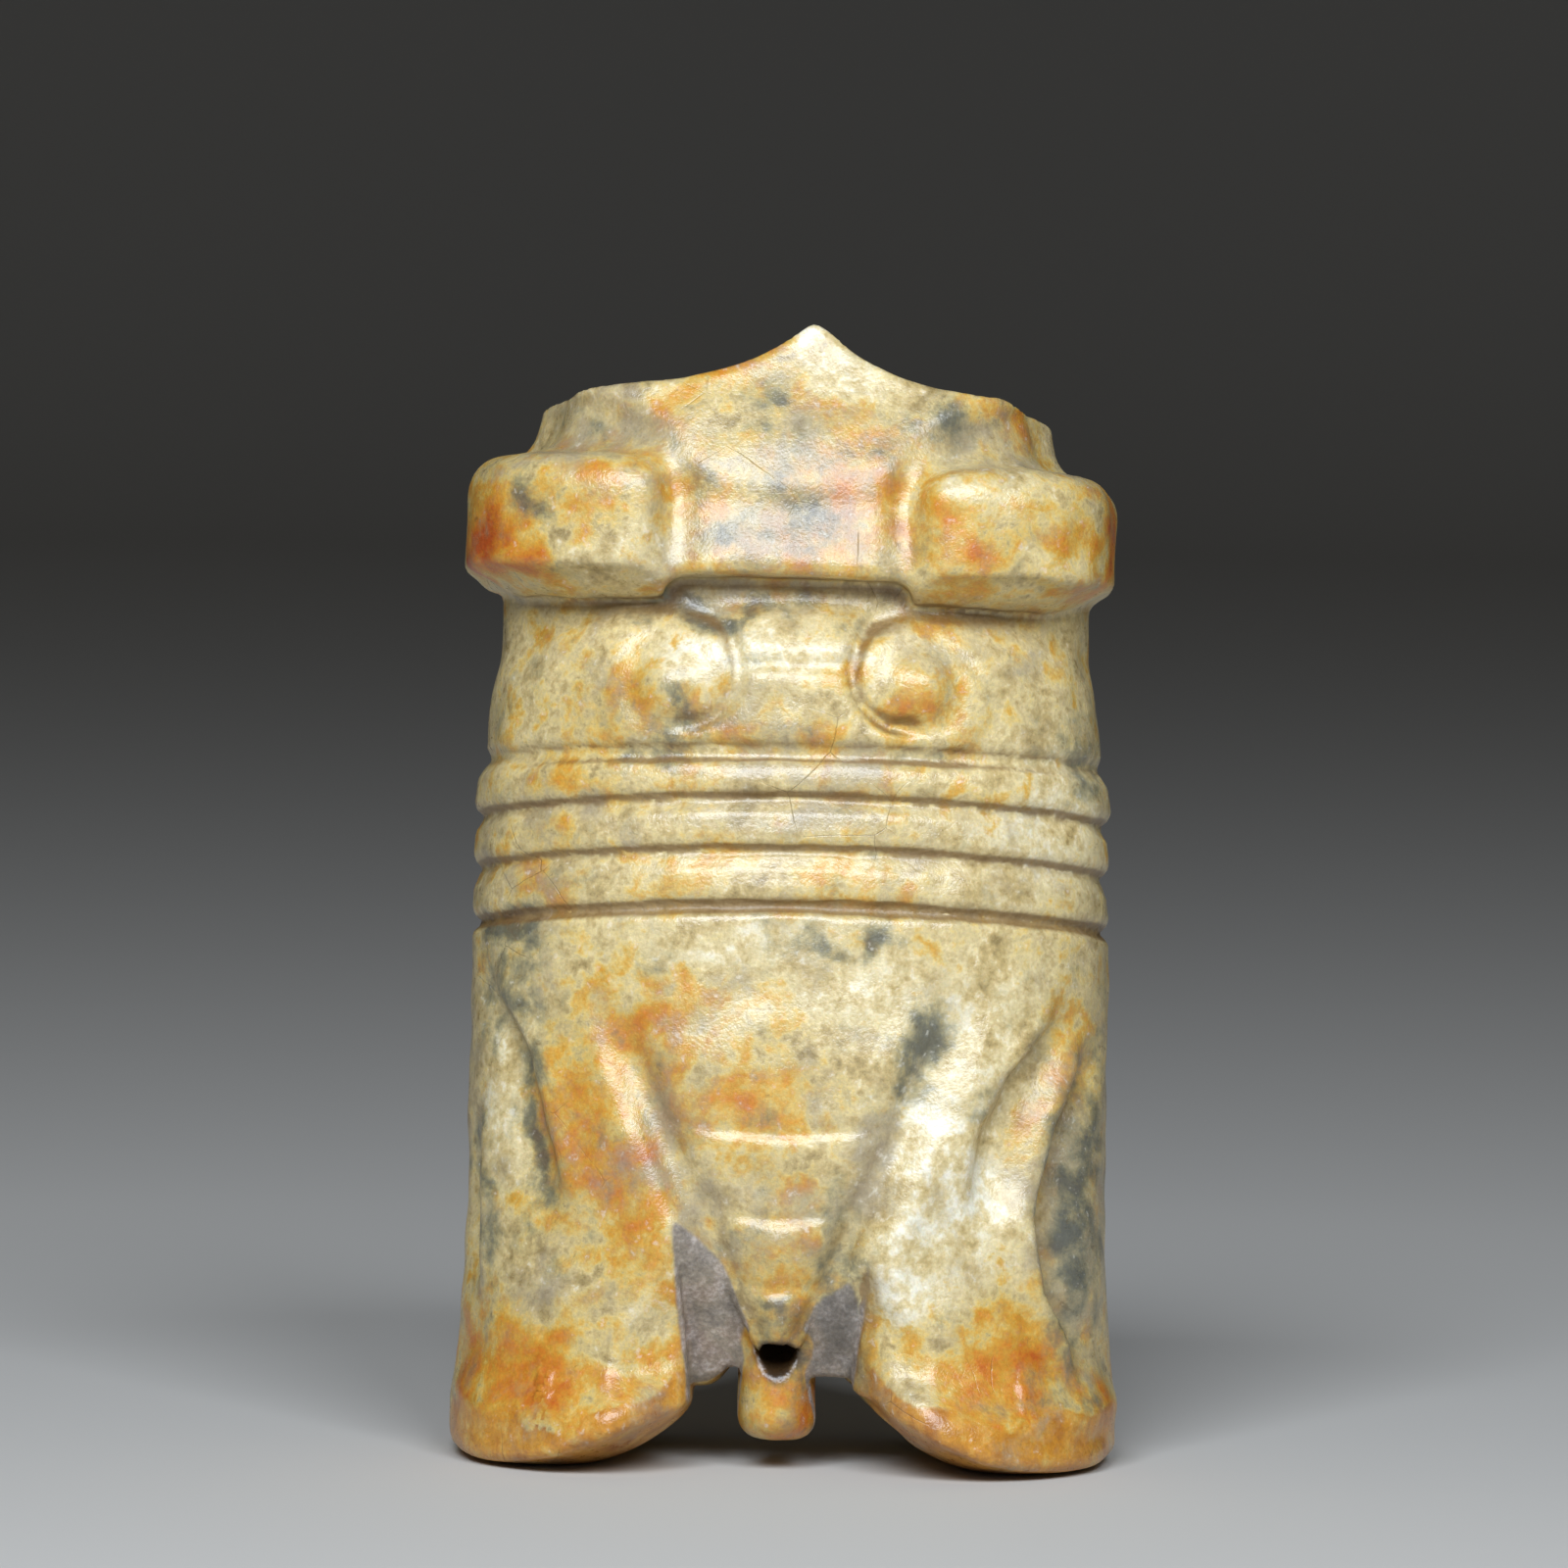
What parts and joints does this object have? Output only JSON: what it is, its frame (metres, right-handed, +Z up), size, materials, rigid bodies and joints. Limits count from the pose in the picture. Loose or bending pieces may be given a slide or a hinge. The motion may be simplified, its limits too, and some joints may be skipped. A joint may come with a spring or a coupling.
{
  "type": "jade cicada pendant",
  "caption": "Small carved jade cicada standing on its wing tips, with tablet eyes, ribbed collar, folded wings and a drilled hole for a cord.",
  "frame": {"origin": "on the surface it stands on, under the middle of its box", "axes": "+Z up from the wing tips to the snout, -Y the way the carved back of the insect faces, +Y its plain belly"},
  "size_m": [0.0208, 0.0146, 0.0352],
  "materials": {
    "polished_mottled_jade": "polished nephrite, mottled cream and ochre with grey-purple veil"
  },
  "bodies": {
    "root": {"jade_cicada": "polished_mottled_jade"}
  },
  "joints": []
}
